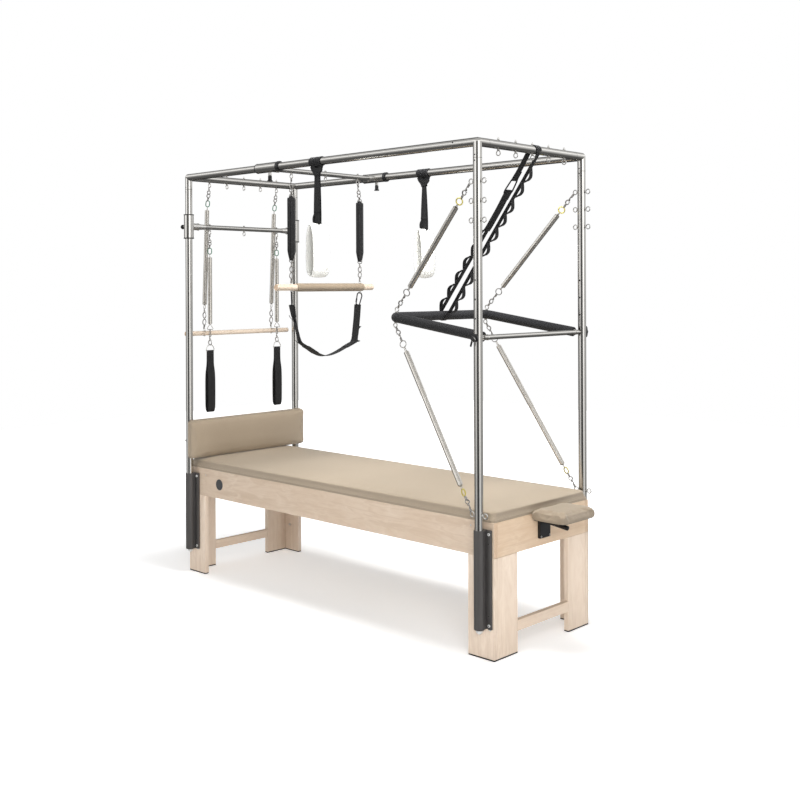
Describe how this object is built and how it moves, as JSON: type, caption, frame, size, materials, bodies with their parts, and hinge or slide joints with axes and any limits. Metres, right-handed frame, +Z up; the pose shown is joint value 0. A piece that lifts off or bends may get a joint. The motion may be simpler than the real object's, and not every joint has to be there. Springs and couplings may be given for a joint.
{
  "type": "pilates trapeze table",
  "caption": "Padded wooden bed under a steel tube canopy, with a sprung push-through bar, sliding crossbars, a trapeze with sling, a roll-down bar and hanging hand and fleece loops.",
  "frame": {"origin": "centre of the bounding box, on the floor", "axes": "+X along the bed towards the foot end with the push-through bar, +Y across the bed, +Z up"},
  "size_m": [2.3482, 0.864, 2.192],
  "materials": {
    "maple": "satin",
    "vinyl": "satin",
    "steel_tube": "satin",
    "spring_steel": "satin",
    "grey_clamp": "satin",
    "black_plastic": "satin",
    "foam": "matte",
    "webbing": "matte",
    "fleece": "matte",
    "foot_rubber": "matte"
  },
  "bodies": {
    "frame": {"side_rail_near": "maple", "side_rail_far": "maple", "end_rail_head": "maple", "end_rail_foot": "maple", "stretcher_head": "maple", "stretcher_foot": "maple", "leg_head_near": "maple", "foot_pad_head_near": "foot_rubber", "post_clamp_head_near": "grey_clamp", "post_head_near": "steel_tube", "leg_head_far": "maple", "foot_pad_head_far": "foot_rubber", "post_clamp_head_far": "grey_clamp", "post_head_far": "steel_tube", "leg_foot_near": "maple", "foot_pad_foot_near": "foot_rubber", "post_clamp_foot_near": "grey_clamp", "post_foot_near": "steel_tube", "leg_foot_far": "maple", "foot_pad_foot_far": "foot_rubber", "post_clamp_foot_far": "grey_clamp", "post_foot_far": "steel_tube", "mattress": "vinyl", "headboard": "vinyl", "end_pad_bracket": "black_plastic", "top_rail_near": "steel_tube", "top_rail_far": "steel_tube", "top_end_tube_head": "steel_tube", "top_end_tube_foot": "steel_tube", "push_spring_upper_near": "spring_steel", "push_spring_upper_far": "spring_steel", "safety_strap": "webbing"},
    "push_bar": {"push_bar_frame": "steel_tube", "push_bar_foam": "foam"},
    "push_bar_pin": {"push_bar_pin_near": "black_plastic"},
    "push_bar_wing_knob": {"push_bar_wing_knob_far": "black_plastic"},
    "slider": {"slider_crossbar": "steel_tube"},
    "slider_pull_near": {"slider_pull_knob_near": "black_plastic"},
    "slider_pull_far": {"slider_pull_knob_far": "black_plastic"},
    "trapeze": {"trapeze_bar": "maple", "trapeze_strap_near": "webbing", "trapeze_strap_far": "webbing"},
    "sling": {"trapeze_sling": "webbing"},
    "head_crossbar": {"head_crossbar": "steel_tube"},
    "crossbar_pull_near": {"head_crossbar_pull_pin_near": "black_plastic"},
    "crossbar_pull_far": {"head_crossbar_pull_pin_far": "black_plastic"},
    "hand_near": {"hand_spring_near": "spring_steel", "hand_loop_near": "webbing"},
    "hand_far": {"hand_spring_far": "spring_steel", "hand_loop_far": "webbing"},
    "roll_down": {"roll_down_bar": "maple", "roll_down_spring_near": "spring_steel", "roll_down_spring_far": "spring_steel"},
    "fleece_near": {"fleece_loop_near": "fleece"},
    "fleece_far": {"fleece_loop_far": "fleece"},
    "end_pad": {"end_pad": "vinyl"},
    "low_spring_near": {"push_spring_lower_near": "spring_steel"},
    "low_hook_near": {"push_spring_hook_near": "spring_steel"},
    "low_spring_far": {"push_spring_lower_far": "spring_steel"},
    "low_hook_far": {"push_spring_hook_far": "spring_steel"}
  },
  "joints": [
    {"name": "push_bar_hinge", "type": "hinge", "parent": "frame", "child": "push_bar", "pos_m": [0.94009, 0, 1.3445], "axis": [0, 1, 0], "range_deg": [0, 45], "deforming": ["push_spring_upper_near", "push_spring_upper_far", "push_spring_lower_near", "push_spring_lower_far", "push_spring_hook_near", "push_spring_hook_far", "safety_strap"]},
    {"name": "push_bar_pin_pull", "type": "slide", "parent": "frame", "child": "push_bar_pin", "axis": [0, -1, 0], "range_m": [0, 0.012], "stiffness_N_per_m": 800, "springref_m": -0.005},
    {"name": "push_bar_knob_turn", "type": "hinge", "parent": "frame", "child": "push_bar_wing_knob", "pos_m": [0.94009, 0.379, 1.3445], "axis": [0, 1, 0], "continuous": true},
    {"name": "slider_travel", "type": "slide", "parent": "frame", "child": "slider", "axis": [1, 0, 0], "range_m": [-0.55, 0.21]},
    {"name": "slider_pull_near", "type": "slide", "parent": "slider", "child": "slider_pull_near", "axis": [0, 0, -1], "range_m": [0, 0.008], "stiffness_N_per_m": 800, "springref_m": -0.005},
    {"name": "slider_pull_far", "type": "slide", "parent": "slider", "child": "slider_pull_far", "axis": [0, 0, -1], "range_m": [0, 0.008], "stiffness_N_per_m": 800, "springref_m": -0.005},
    {"name": "trapeze_swing", "type": "hinge", "parent": "slider", "child": "trapeze", "pos_m": [-0.41291, 0, 2.126], "axis": [0, 1, 0], "range_deg": [-30, 35]},
    {"name": "sling_swing", "type": "hinge", "parent": "trapeze", "child": "sling", "pos_m": [-0.41291, 0, 1.557], "axis": [0, -1, 0], "range_deg": [-60, 60]},
    {"name": "head_crossbar_travel", "type": "slide", "parent": "frame", "child": "head_crossbar", "axis": [0, 0, 1], "range_m": [-0.2, 0.04]},
    {"name": "crossbar_pull_near", "type": "slide", "parent": "head_crossbar", "child": "crossbar_pull_near", "axis": [-1, 0, 0], "range_m": [0, 0.01], "stiffness_N_per_m": 800, "springref_m": -0.005},
    {"name": "crossbar_pull_far", "type": "slide", "parent": "head_crossbar", "child": "crossbar_pull_far", "axis": [-1, 0, 0], "range_m": [0, 0.01], "stiffness_N_per_m": 800, "springref_m": -0.005},
    {"name": "hand_swing_near", "type": "hinge", "parent": "head_crossbar", "child": "hand_near", "pos_m": [-1.10591, -0.24, 1.864], "axis": [0, -1, 0], "range_deg": [-3, 30]},
    {"name": "hand_swing_far", "type": "hinge", "parent": "head_crossbar", "child": "hand_far", "pos_m": [-1.10591, 0.24, 1.864], "axis": [0, -1, 0], "range_deg": [-3, 30]},
    {"name": "roll_down_swing", "type": "hinge", "parent": "frame", "child": "roll_down", "pos_m": [-1.10591, 0, 2.1245], "axis": [0, 1, 0], "range_deg": [0, 35]},
    {"name": "fleece_swing_near", "type": "hinge", "parent": "frame", "child": "fleece_near", "pos_m": [-0.05291, -0.379, 2.16], "axis": [-1, 0, 0], "range_deg": [-25, 45]},
    {"name": "fleece_swing_far", "type": "hinge", "parent": "frame", "child": "fleece_far", "pos_m": [-0.05291, 0.379, 2.16], "axis": [1, 0, 0], "range_deg": [-25, 45]},
    {"name": "end_pad_slide", "type": "slide", "parent": "frame", "child": "end_pad", "axis": [0.9915, 0, -0.1303], "range_m": [0, 0.07]},
    {"name": "low_spring_turn_near", "type": "hinge", "parent": "frame", "child": "low_spring_near", "pos_m": [0.90459, -0.379, 0.607], "axis": [0, 1, 0], "range_deg": [0, 17.51]},
    {"name": "low_spring_stretch_near", "type": "slide", "parent": "low_spring_near", "child": "low_hook_near", "axis": [-0.5388, 0.0621, 0.8401], "range_m": [0, 0.2638]},
    {"name": "low_spring_turn_far", "type": "hinge", "parent": "frame", "child": "low_spring_far", "pos_m": [0.90459, 0.379, 0.607], "axis": [0, 1, 0], "range_deg": [0, 17.51]},
    {"name": "low_spring_stretch_far", "type": "slide", "parent": "low_spring_far", "child": "low_hook_far", "axis": [-0.5388, -0.0621, 0.8401], "range_m": [0, 0.2638]}
  ],
  "couplings": [
    {"joint": "low_spring_turn_near", "follows": "push_bar_hinge", "ratio": 0.3846},
    {"joint": "low_spring_stretch_near", "follows": "push_bar_hinge", "m_per_rad": 0.33335},
    {"joint": "low_spring_turn_far", "follows": "push_bar_hinge", "ratio": 0.3846},
    {"joint": "low_spring_stretch_far", "follows": "push_bar_hinge", "m_per_rad": 0.33335}
  ]
}
